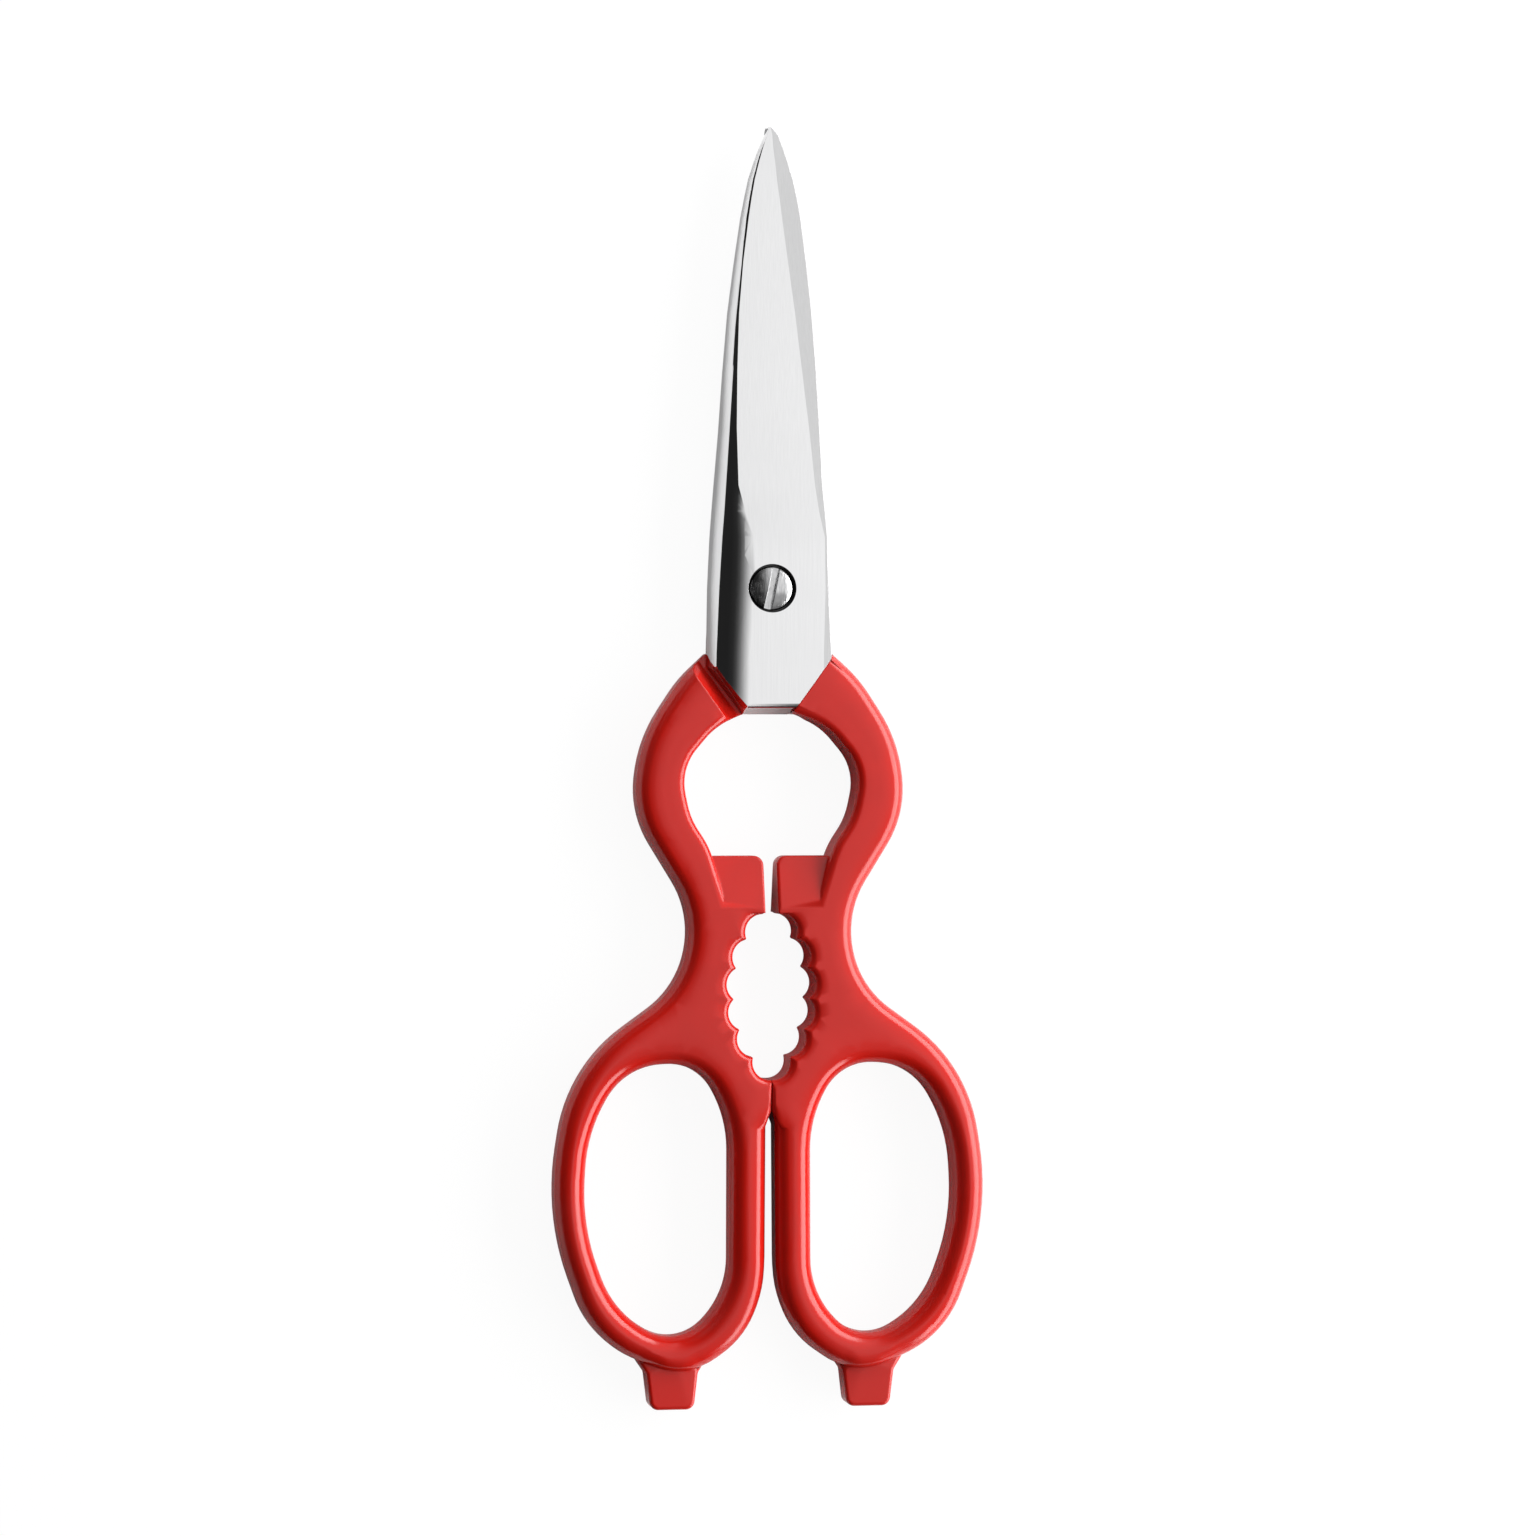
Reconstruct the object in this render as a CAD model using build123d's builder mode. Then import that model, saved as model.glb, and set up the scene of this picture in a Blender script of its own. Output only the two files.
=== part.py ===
from build123d import *
import math
import os

os.makedirs("parts", exist_ok=True)

# Forged kitchen shears, closed and lying flat. The pivot axis is X = Y = 0, the tip points along +Y,
# the front half lies on top, and the back of the rear half rests on Z = 0. All lengths in millimetres.

# Thickness of each half, and the gap between the two halves where they slide on each other.
half_thickness = 4.2
mating_gap = 0.06

# Blade: reach from the pivot to the tip, half width at the boss, and thickness at the tip.
blade_reach = 72.2
blade_half_width = 9.4
blade_tip_thickness = 1.1
blade_root = 8.5
hollow_depth = 0.12

# Slope of the ground facet beside the cutting edge, and lean of the steep side that makes the edge.
facet_slope = 0.235
edge_lean = 0.16

# Joint boss: an octagon end that faces the handles, with drafted sides as a forging has.
boss_end = 19.6
boss_corner_reach = 14.0
boss_corner_angle = 36.0
boss_foot_reach = 0.9
boss_draft = 13.0
boss_neck_out = 2.4
boss_neck_in = 13.7
boss_end_round = 1.1

# Handle of one half: reach from the pivot to the end of the lug, and spread from the axis to its outer side.
handle_reach = 127.9
handle_spread = 34.0
stop_clearance = 0.05
bow_side = 0.7
bow_inner_bar = 5.7
bow_outer_bar = 4.8
bow_end_bar = 6.4
bow_outer_round = 1.9
bow_hole_round = 2.2
cap_half_width = 13.7
cap_round = 1.3

# Places down the handle, as shares of its reach: the lower end of the cap opening, the run of the jar
# block below it, the middle of the jaw, the lower end of the stop pad, the upper end of the finger bow's
# hole, and the lower end of the bow.
cap_bottom_share = 0.326
block_run_share = 0.0633
jaw_middle_share = 0.4925
stop_pad_bottom_share = 0.661
bow_top_share = 0.578
bow_end_share = 0.961

# Shoulder of a handle, where it drops to half thickness to clear the other half's boss.
shoulder_foot = 15.6
shoulder_crest = 17.8

# Jar blocks at the top of the jaw, tapered towards the cap opening.
block_side = 1.05
block_lip = 3.6
block_depth = 8.6
block_bury = 0.8
block_corner_round = 1.5
block_edge_round = 0.4

# Nutcracker jaw: hollows on an arc, with rims that flare out at the faces, and the pads that stop the
# handles. The arc's radius and the place of its centre beyond the axis are shares of the handle's reach.
jaw_arc_radius_share = 0.1501
jaw_arc_offset_share = 0.0946
jaw_tooth_height = 1.0
hollow_radius = 2.8
hollow_count = 6
hollow_first_angle = 35.0
hollow_pitch_angle = 15.3
hollow_rim_radius = 1.3
hollow_rim_depth = 1.25
jaw_edge_round = 0.4
stop_pad_width = 2.7

# Lug at the end of a handle.
lug_centre = 15.5
lug_root_width = 8.2
lug_tip_width = 6.8
lug_thickness = 5.0
lug_corner_round = 1.4
lug_root_round = 1.0
lug_edge_round = 0.6

# Red coating over the handles.
coat = 0.5
core_bury = 3.0
core_chamfer_share = 0.75

# Pivot screw and its holes.
journal_radius = 2.5
journal_clearance = 0.04
thread_radius = 2.0
thread_clearance = 0.02
head_radius = 3.45
head_height = 1.0
head_dome = 0.5
head_seat_depth = 1.6
head_axial_clearance = 0.03
counterbore_radius = 3.75
head_edge_round = 0.25
slot_width = 1.2
slot_depth = 1.0
slot_angle = -12.0
screw_end_recess = 0.2

# Overrun of every cut, and the reach within which an edge counts as lying beside a drawn line.
overrun = 2.0
pick_reach = 0.02

# Places that follow from the sizes above.
mid_z = half_thickness
top_z = half_thickness * 2
mating_z = mid_z + mating_gap / 2
handle_half_turn = Axis((0, 0, mid_z), (0, 1, 0))
cap_top = boss_end
cap_bottom = handle_reach * cap_bottom_share
block_run = handle_reach * block_run_share
bow_top = handle_reach * bow_top_share
bow_bottom = handle_reach * bow_end_share - bow_end_bar
stop_pad_bottom = handle_reach * stop_pad_bottom_share
jaw_arc_radius = handle_reach * jaw_arc_radius_share
jaw_arc_offset = handle_reach * jaw_arc_offset_share
jaw_arc_drop = handle_reach * jaw_middle_share

# Outer side of a handle, from the flare below the boss round the finger bow to its inner side,
# as shares of the handle's spread and reach.
outer_corner_shares = (
    (0.415, 0.109),
    (0.600, 0.184),
    (0.638, 0.274),
    (0.356, 0.396),
    (0.421, 0.486),
    (0.926, 0.583),
    (1.032, 0.762),
    (0.818, 0.920),
    (0.376, bow_end_share),
    (0.124, 0.915),
    (0.026, 0.854),
)

# Hole of the finger bow, as shares of its own width and length from its lower inner corner.
bow_hole_corner_shares = (
    (0.720, 0.988),
    (0.978, 0.749),
    (1.013, 0.408),
    (0.794, 0.092),
    (0.355, -0.042),
    (0.004, 0.148),
    (0.000, 0.793),
    (0.219, 1.002),
)

# Side of the cap opening, as shares of its half width and of its depth below its top.
cap_corner_shares = (
    (0.628, 0.077),
    (1.044, 0.385),
    (0.927, 0.742),
    (0.715, 0.928),
)
cap_bar_end_share = (0.467, 1.443)

# Where the bars end inside the jaw, and where the jaw ends inside the bars, as shares of the handle's
# spread and reach.
web_line_shares = ((0.085, 0.614), (0.275, 0.516), (0.275, 0.440))
jaw_back_shares = ((0.308, 0.390), (0.316, 0.440), (0.310, 0.545), (0.121, 0.622))

# Rounding of each smooth corner, as a share of its shorter side.
smooth_share = 0.49

# Belly of the spine's side, as a share of its height along the slope.
belly_share = 0.05

# Sections of the boss, from its end to the blade: place below the pivot as a share of the boss's end, half
# width as a share of the blade's at the boss, then, as shares of that half width, the foot of the spine's
# side, its top, the left side of the flat face and the right side of it, then the height of the spine's
# side as a share of the thickness there, and last how far the strip between it and the face is crowned,
# from 0 for flat to 1 for a roll-off that leaves the face without a crease.
boss_section_shares = (
    (1.030, 1.106, 0.952, 0.856, 0.356, 0.779, 0.73, 1.00),
    (0.510, 1.058, 0.990, 0.869, 0.352, 0.819, 0.73, 1.00),
    (0.000, 1.005, 1.026, 0.870, 0.317, 0.889, 0.73, 1.00),
    (-0.408, 0.989, 1.001, 0.833, 0.323, 0.892, 0.75, 0.95),
)

# Sections of the blade in the same terms, with their place as a share of the way from its root to its tip.
blade_section_shares = (
    (0.055, 0.952, 1.007, 0.831, 0.480, 0.827, 0.80, 0.65),
    (0.118, 0.910, 1.015, 0.839, 0.620, 0.795, 0.84, 0.30),
    (0.259, 0.859, 0.979, 0.812, 0.682, 0.734, 0.86, 0.10),
    (0.400, 0.803, 0.963, 0.787, 0.709, 0.646, 0.86, 0.10),
    (0.542, 0.731, 0.946, 0.780, 0.728, 0.560, 0.86, 0.10),
    (0.667, 0.638, 0.910, 0.753, 0.715, 0.467, 0.89, 0.10),
    (0.777, 0.544, 0.865, 0.722, 0.658, 0.374, 0.88, 0.10),
    (0.824, 0.485, 0.844, 0.700, 0.636, 0.340, 0.88, 0.10),
    (0.871, 0.417, 0.816, 0.668, 0.602, 0.296, 0.88, 0.10),
    (0.918, 0.319, 0.750, 0.600, 0.533, 0.283, 0.88, 0.10),
    (0.950, 0.244, 0.642, 0.502, 0.437, 0.262, 0.88, 0.10),
    (0.981, 0.162, 0.430, 0.300, 0.230, 0.300, 0.87, 0.10),
    (1.000, 0.053, 0.200, 0.120, 0.020, 0.400, 0.86, 0.10),
)


def smooth_radii(corners):
    """Radius at each corner of a closed outline that rounds off the smooth share of its shorter side."""
    radii = []
    for i, corner in enumerate(corners):
        before = Vector(*corners[i - 1]) - Vector(*corner)
        after = Vector(*corners[(i + 1) % len(corners)]) - Vector(*corner)
        half_angle = math.radians(before.get_angle(after)) / 2
        radii.append(smooth_share * min(before.length, after.length) * math.tan(half_angle))
    return radii


def shrink(corners, radii, inset):
    """Corners and radii of a clockwise outline with every side moved inwards by the inset."""
    new_corners = []
    new_radii = []
    for i, corner in enumerate(corners):
        here = Vector(*corner)
        coming = (here - Vector(*corners[i - 1])).normalized()
        going = (Vector(*corners[(i + 1) % len(corners)]) - here).normalized()
        coming_side = Vector(coming.Y, -coming.X)
        going_side = Vector(going.Y, -going.X)
        step = (coming_side + going_side) * (inset / (1 + coming_side.dot(going_side)))
        bulges = coming.cross(going).Z < 0
        new_corners.append(here + step)
        new_radii.append(radii[i] + (-inset if bulges else inset) if radii[i] else 0)
    return new_corners, new_radii


def beside_pivot(distance, sideways):
    """Point on the line that cuts the boss's lower right corner, or one parallel to it further out."""
    turn = math.radians(-boss_corner_angle)
    x = distance * math.cos(turn) - sideways * math.sin(turn)
    y = distance * math.sin(turn) + sideways * math.cos(turn)
    return (x, y)


def from_handle(shares):
    """Point of the handle from its shares of spread and reach."""
    return (shares[0] * handle_spread, -shares[1] * handle_reach)


def from_cap(shares):
    """Point beside the cap opening from its shares of half width and depth."""
    return (shares[0] * cap_half_width, -cap_top - shares[1] * (cap_bottom - cap_top))


def from_bow_hole(shares):
    """Point beside the finger bow's hole from its shares of width and length."""
    left = bow_side + bow_inner_bar
    width = handle_spread - bow_outer_bar - left
    return (left + shares[0] * width, -bow_bottom + shares[1] * (bow_bottom - bow_top))


def edges_beside(edges, line, reach):
    """Level edges whose middle lies within reach of a line drawn on the ground plane."""
    near = []
    for edge in edges:
        middle = edge.position_at(0.5)
        if line.distance_to(Vertex(middle.X, middle.Y, 0)) <= reach:
            near.append(edge)
    return near


def bar_form(inset):
    """Bars of the right-hand handle: flare, upper bow, web and finger bow, shrunk by the inset."""
    outer_corners = [from_handle(pair) for pair in outer_corner_shares]
    web_corners = [(bow_side, -stop_pad_bottom + stop_pad_width / 2)]
    web_corners += [from_handle(pair) for pair in web_line_shares]
    web_corners.append(from_cap(cap_bar_end_share))
    cap_corners = [from_cap(pair) for pair in reversed(cap_corner_shares)]
    neck_corners = [
        beside_pivot(boss_corner_reach, -boss_neck_in),
        beside_pivot(boss_corner_reach, -boss_neck_out),
    ]
    corners = outer_corners + web_corners + cap_corners + neck_corners
    hole_corners = [from_bow_hole(pair) for pair in bow_hole_corner_shares]
    radii = [
        0 if corner in web_corners + neck_corners else radius
        for corner, radius in zip(corners, smooth_radii(corners))
    ]
    hole_radii = smooth_radii(hole_corners)
    cap_radii = radii[corners.index(cap_corners[0]) : corners.index(neck_corners[0])]
    outer_guide = FilletPolyline(
        neck_corners[1], *outer_corners, web_corners[0], radius=radii[: len(outer_corners)]
    )
    cap_guide = FilletPolyline(web_corners[-1], *cap_corners, neck_corners[0], radius=cap_radii)
    hole_guide = FilletPolyline(*hole_corners, radius=hole_radii, close=True)
    with BuildPart() as bars:
        with BuildSketch(Plane.XY.offset(inset)):
            with BuildLine():
                new_corners, new_radii = shrink(corners, radii, inset)
                FilletPolyline(*new_corners, radius=new_radii, close=True)
            make_face()
            with BuildLine():
                new_corners, new_radii = shrink(hole_corners, hole_radii, -inset)
                FilletPolyline(*new_corners, radius=new_radii, close=True)
            make_face(mode=Mode.SUBTRACT)
        extrude(amount=top_z - 2 * inset)
        for guide, rounding in (
            (outer_guide, bow_outer_round),
            (cap_guide, cap_round),
            (hole_guide, bow_hole_round),
        ):
            level_edges = bars.faces().filter_by(Plane.XY).edges()
            rim = edges_beside(level_edges, guide, inset + pick_reach)
            if inset:
                chamfer(rim, (rounding - inset) * core_chamfer_share)
            else:
                fillet(rim, rounding)
        if inset:
            neck_face = bars.faces().sort_by(Axis((0, 0, mid_z), beside_pivot(1, 0)))[0]
            extrude(neck_face, amount=core_bury)
    return bars.part


def hollow_cutter(inset):
    """Cutter of one hollow: a cylinder whose two ends flare out where they pass the jaw's faces."""
    radius = hollow_radius + inset
    rim = hollow_rim_radius - inset
    flare_start = top_z - hollow_rim_depth
    cut_top = top_z + overrun
    with BuildPart() as cutter:
        with BuildSketch(Plane.XZ):
            with BuildLine():
                Polyline((0, cut_top), (0, mid_z), (radius, mid_z), (radius, flare_start))
                if inset:
                    Line((radius, flare_start), (radius + rim, flare_start + rim))
                else:
                    CenterArc((radius + rim, flare_start), rim, 180, -90)
                Polyline((radius + rim, flare_start + rim), (radius + rim, cut_top), (0, cut_top))
            make_face()
        revolve(axis=Axis.Z)
        mirror(about=Plane.XY.offset(mid_z))
    return cutter.part


def jaw_form(inset):
    """Jaw of the right-hand handle: nutcracker hollows on an arc, and the pad that stops the handle."""
    jaw_top = -cap_bottom - block_run
    pad_bottom = -stop_pad_bottom
    back = [from_handle(pair) for pair in jaw_back_shares]
    pad_back = stop_clearance + stop_pad_width + bow_side
    cutter = hollow_cutter(inset)
    with BuildPart() as jaw:
        with BuildSketch(Plane.XY.offset(inset)):
            with BuildLine():
                Polyline(
                    (block_side + inset, jaw_top),
                    (block_side + inset, -jaw_arc_drop),
                    (stop_clearance + inset, -jaw_arc_drop),
                    (stop_clearance + inset, pad_bottom + inset),
                    (pad_back, pad_bottom + inset),
                    *reversed(back),
                    (back[0][0], jaw_top),
                    close=True,
                )
            make_face()
            with Locations((-jaw_arc_offset, -jaw_arc_drop)):
                Circle(jaw_arc_radius - jaw_tooth_height + inset, mode=Mode.SUBTRACT)
        extrude(amount=top_z - 2 * inset)
        if not inset:
            fillet(jaw.faces().filter_by(Plane.XY).edges(), jaw_edge_round)
        with Locations((-jaw_arc_offset, -jaw_arc_drop)):
            with PolarLocations(
                jaw_arc_radius - hollow_radius,
                hollow_count,
                start_angle=hollow_first_angle,
                angular_range=-hollow_pitch_angle * (hollow_count - 1),
                endpoint=True,
            ):
                add(cutter, mode=Mode.SUBTRACT)
    return jaw.part


def block_form(inset):
    """Jar block above the jaw, whose faces slope down to its lip at the cap opening."""
    lip_y = -cap_bottom - inset
    slope_end = -cap_bottom - block_run
    half_lip = block_lip / 2 - inset
    with BuildPart() as block:
        with BuildSketch(Plane.YZ.offset(block_side + inset)):
            with BuildLine():
                Polyline(
                    (lip_y, mid_z - half_lip),
                    (slope_end, inset),
                    (slope_end - block_bury, inset),
                    (slope_end - block_bury, top_z - inset),
                    (slope_end, top_z - inset),
                    (lip_y, mid_z + half_lip),
                    close=True,
                )
            make_face()
        extrude(amount=block_depth - inset)
        lip_corner = block.edges().filter_by(Axis.Z).group_by(Axis.Y)[-1].sort_by(Axis.X)[0]
        fillet(lip_corner, block_corner_round - inset)
        if not inset:
            rim = block.edges().filter_by(Axis.Z, reverse=True).filter_by(
                lambda edge: edge.center().X < block_side + block_depth - pick_reach
                and edge.center().Y > slope_end
            )
            lip_edges = rim.filter_by(Axis.X).group_by(Axis.Y)[-1]
            fillet(rim.filter_by(Axis.X, reverse=True) + lip_edges, block_edge_round)
    return block.part


def lug_form(inset):
    """Flat lug at the end of the handle."""
    root_y = -bow_bottom - bow_inner_bar / 2
    flare_y = -bow_bottom - bow_inner_bar
    tip_y = -handle_reach + inset
    half_root = lug_root_width / 2 - inset
    half_tip = lug_tip_width / 2 - inset
    corners = (
        (lug_centre - half_root - lug_root_round * 2, root_y),
        (lug_centre - half_root, flare_y),
        (lug_centre - half_tip, tip_y),
        (lug_centre + half_tip, tip_y),
        (lug_centre + half_root, flare_y),
        (lug_centre + half_root + lug_root_round * 2, root_y),
    )
    with BuildPart() as lug:
        with BuildSketch(Plane.XY.offset(mid_z - lug_thickness / 2 + inset)):
            with BuildLine():
                FilletPolyline(
                    *corners,
                    radius=(
                        0,
                        lug_root_round + inset,
                        lug_corner_round - inset,
                        lug_corner_round - inset,
                        lug_root_round + inset,
                        0,
                    ),
                    close=True,
                )
            make_face()
        extrude(amount=lug_thickness - 2 * inset)
        if not inset:
            rim = lug.faces().filter_by(Plane.XY).edges().filter_by(
                lambda edge: edge.center().Y < root_y - pick_reach
            )
            fillet(rim, lug_edge_round)
    return lug.part


def handle_form(inset):
    """Right-hand handle of the front half, shrunk by the inset."""
    turn = math.radians(-boss_corner_angle)
    outwards = (math.cos(turn), math.sin(turn), 0)
    sideways = (math.sin(turn), -math.cos(turn), 0)
    wall_run = (shoulder_crest - shoulder_foot) / mating_z * overrun
    forms = (bar_form(inset), jaw_form(inset), block_form(inset), lug_form(inset))
    with BuildPart() as handle:
        add(forms)
        with BuildSketch(Plane(origin=(0, 0, 0), x_dir=outwards, z_dir=sideways)):
            with BuildLine():
                Polyline(
                    (0, mating_z),
                    (shoulder_foot, mating_z),
                    (shoulder_crest + wall_run, -overrun),
                    (0, -overrun),
                    close=True,
                )
            make_face()
            if inset:
                offset(amount=inset, kind=Kind.INTERSECTION)
        extrude(amount=handle_spread, both=True, mode=Mode.SUBTRACT)
    return handle.part


def blade_section(y, rise, hollow, sides, wall_share, crown):
    """Outline square to the length: spine's side, strip, flat face, ground facet, edge and inner face."""
    half_width, foot, wall_top, face, facet = sides
    edge_height = (rise - (half_width - facet) * facet_slope) / (1 - edge_lean * facet_slope)
    foot_point = Vector(-foot, mating_z)
    wall_point = Vector(-wall_top, mating_z + rise * wall_share)
    face_point = Vector(-face, mating_z + rise)
    strip = face_point - wall_point
    full_sagitta = strip.length / 2 * math.tan(math.atan2(strip.Y, strip.X) / 2)
    with BuildSketch(Plane.XZ.offset(-y)) as section:
        with BuildLine():
            SagittaArc(foot_point, wall_point, -belly_share * (wall_point - foot_point).length)
            SagittaArc(wall_point, face_point, -crown * full_sagitta)
            Polyline(
                face_point,
                (facet, mating_z + rise),
                (half_width - edge_lean * edge_height, mating_z + edge_height),
                (half_width, mating_z),
            )
            if hollow:
                middle = (half_width - foot) / 2
                ThreePointArc((half_width, mating_z), (middle, mating_z + hollow), foot_point)
            else:
                Line((half_width, mating_z), foot_point)
        make_face()
    return section.sketch


def blade_form():
    """Boss and blade of the front half, with the boss's end cut to an octagon with drafted sides."""
    length = blade_reach - blade_root
    full_rise = top_z - mating_z
    sections = []
    for place, width, *side_shares, wall_share, crown in boss_section_shares:
        half_width = blade_half_width * width
        sides = [half_width] + [half_width * share for share in side_shares]
        sections.append(blade_section(-boss_end * place, full_rise, 0, sides, wall_share, crown))
    for place, width, *side_shares, wall_share, crown in blade_section_shares:
        half_width = blade_half_width * width
        rise = full_rise + (blade_tip_thickness - full_rise) * place
        sides = [half_width] + [half_width * share for share in side_shares]
        hollow = hollow_depth * rise / full_rise
        sections.append(
            blade_section(blade_root + length * place, rise, hollow, sides, wall_share, crown)
        )
    neck_top = beside_pivot(boss_corner_reach, boss_corner_reach)
    neck_bottom = beside_pivot(boss_corner_reach, -boss_corner_reach * 2)
    foot_reach = boss_corner_reach + boss_foot_reach
    foot_top = beside_pivot(foot_reach, foot_reach)
    foot_bottom = beside_pivot(foot_reach, -boss_neck_in * 2)
    end_lean = (half_thickness + pick_reach) * math.tan(math.radians(boss_draft))
    far = blade_reach + overrun
    with BuildPart() as blade:
        loft(sections=sections, ruled=True)
        with BuildSketch():
            Polygon(neck_top, neck_bottom, (-far, neck_bottom[1]), (-far, far), (far, far), align=None)
        extrude(amount=top_z + overrun, mode=Mode.INTERSECT)
        with BuildSketch(Plane.XY.offset(mating_z)):
            Polygon(
                (-foot_top[0], foot_top[1]),
                (-foot_bottom[0], foot_bottom[1]),
                (far, foot_bottom[1]),
                (far, far),
                (-foot_top[0], far),
                align=None,
            )
        extrude(amount=half_thickness + overrun, taper=boss_draft, mode=Mode.INTERSECT)
        with BuildSketch(Plane.YZ):
            with BuildLine():
                FilletPolyline(
                    (far, 0),
                    (-boss_end, 0),
                    (-boss_end, mid_z),
                    (-boss_end + end_lean, top_z + pick_reach),
                    (far, top_z + pick_reach),
                    radius=(0, 0, 0, boss_end_round, 0),
                    close=True,
                )
            make_face()
        extrude(amount=far, both=True, mode=Mode.INTERSECT)
    return blade.part


front_handle = handle_form(0)
front_core = handle_form(coat)
front_blade = blade_form()

with BuildPart() as front_blade_forging:
    add((front_blade, front_core))
    with Locations((0, 0, top_z - head_seat_depth)):
        Cylinder(
            counterbore_radius,
            head_seat_depth + overrun,
            align=(Align.CENTER, Align.CENTER, Align.MIN),
            mode=Mode.SUBTRACT,
        )
    Cylinder(
        journal_radius + journal_clearance,
        top_z,
        align=(Align.CENTER, Align.CENTER, Align.MIN),
        mode=Mode.SUBTRACT,
    )
front_blade_forging.part.label = "front_blade_forging"
export_step(front_blade_forging.part, "parts/front_blade_forging.step")

with BuildPart() as front_handle_coating:
    add(front_handle)
    add(front_core, mode=Mode.SUBTRACT)
front_handle_coating.part.label = "front_handle_coating"
export_step(front_handle_coating.part, "parts/front_handle_coating.step")

with BuildPart() as rear_blade_forging:
    add([form.rotate(handle_half_turn, 180) for form in (front_blade, front_core)])
    Cylinder(
        thread_radius + thread_clearance,
        top_z,
        align=(Align.CENTER, Align.CENTER, Align.MIN),
        mode=Mode.SUBTRACT,
    )
rear_blade_forging.part.label = "rear_blade_forging"
export_step(rear_blade_forging.part, "parts/rear_blade_forging.step")

with BuildPart() as rear_handle_coating:
    add(front_handle.rotate(handle_half_turn, 180))
    add(front_core.rotate(handle_half_turn, 180), mode=Mode.SUBTRACT)
rear_handle_coating.part.label = "rear_handle_coating"
export_step(rear_handle_coating.part, "parts/rear_handle_coating.step")

with BuildPart() as pivot_screw:
    head_seat = top_z - head_seat_depth + head_axial_clearance
    head_top = head_seat + head_height + head_dome
    dome_radius = (head_radius**2 + head_dome**2) / (2 * head_dome)
    journal_end = mid_z - mating_gap / 2
    with BuildSketch(Plane.XZ):
        with BuildLine():
            Polyline(
                (0, head_top),
                (0, screw_end_recess),
                (thread_radius, screw_end_recess),
                (thread_radius, journal_end),
                (journal_radius, journal_end),
                (journal_radius, head_seat),
                (head_radius, head_seat),
                (head_radius, head_seat + head_height),
            )
            ThreePointArc(
                (head_radius, head_seat + head_height),
                (head_radius / 2, head_top - dome_radius + math.sqrt(dome_radius**2 - head_radius**2 / 4)),
                (0, head_top),
            )
        make_face()
    revolve(axis=Axis.Z)
    head_rim = pivot_screw.edges().filter_by(lambda edge: edge.is_closed).sort_by(Axis.Z)[-1]
    fillet(head_rim, head_edge_round)
    chamfer(pivot_screw.faces().sort_by(Axis.Z)[0].edges(), head_edge_round)
    with Locations(Pos(0, 0, head_top - slot_depth) * Rot(0, 0, slot_angle)):
        Box(
            slot_width,
            head_radius * 2 + overrun,
            slot_depth + overrun,
            align=(Align.CENTER, Align.CENTER, Align.MIN),
            mode=Mode.SUBTRACT,
        )
pivot_screw.part.label = "pivot_screw"
export_step(pivot_screw.part, "parts/pivot_screw.step")
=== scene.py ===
import bpy
import math
from mathutils import Matrix, Vector
from mathutils.bvhtree import BVHTree
from mathutils.kdtree import KDTree


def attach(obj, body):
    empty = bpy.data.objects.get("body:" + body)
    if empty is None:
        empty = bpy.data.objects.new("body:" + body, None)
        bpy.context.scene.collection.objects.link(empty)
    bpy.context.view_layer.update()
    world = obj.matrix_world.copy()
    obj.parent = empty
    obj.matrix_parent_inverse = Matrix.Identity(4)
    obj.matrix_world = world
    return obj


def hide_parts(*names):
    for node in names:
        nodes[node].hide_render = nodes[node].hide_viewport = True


# Forged kitchen shears, closed and lying on a pale floor. Metres, in the frame of the CAD model:
# the pivot is X = Y = 0, the blades point along +Y and the floor is Z = 0.
MM = 0.001

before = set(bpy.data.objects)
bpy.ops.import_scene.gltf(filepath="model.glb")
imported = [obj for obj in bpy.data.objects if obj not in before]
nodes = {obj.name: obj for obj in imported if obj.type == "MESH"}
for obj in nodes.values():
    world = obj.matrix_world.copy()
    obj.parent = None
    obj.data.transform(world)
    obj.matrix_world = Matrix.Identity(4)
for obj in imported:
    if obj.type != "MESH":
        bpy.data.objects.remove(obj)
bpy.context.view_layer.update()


# Camera: above the shears and a little to their left, as in the photograph.
IMAGE_SIDE_PX = 1536
FOCAL_PX = 4884
PX_PER_MM = 6.3875
PIVOT_PX = (768.1, 589.2)
CAMERA_TILT = math.radians(9.5)
MID_HEIGHT = 4.2 * MM
SENSOR_MM = 36.0
CLIP_FACTOR = 100


# Studio dome: brightness by angle from straight overhead, left negative and right positive.
DOME_PEAK = 1.3
DOME_STOPS = (
    (-175, 0.02),
    (-24, 0.02),
    (-16, 0.03),
    (-11, 0.08),
    (-6, 0.22),
    (-2, 0.42),
    (2, 0.68),
    (6, 0.93),
    (9, 1.17),
    (12, 1.26),
    (24, 1.15),
    (31, 0.92),
    (88, 0.80),
    (96, 0.3),
    (175, 0.02),
)
# The same dome's brightness by how far it lies towards the handles' end, as the sine of that angle.
DOME_LOW_STOPS = ((-0.98, 0.05), (-0.6, 0.2), (-0.16, 0.5), (-0.05, 1.0))

# Soft box on the right: a tall panel beside the shears.
BOX_DISTANCE = 280 * MM
BOX_LOW = 11 * MM
BOX_HIGH = 268 * MM
BOX_LENGTH = 900 * MM
BOX_RADIANCE = 6.3

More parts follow.
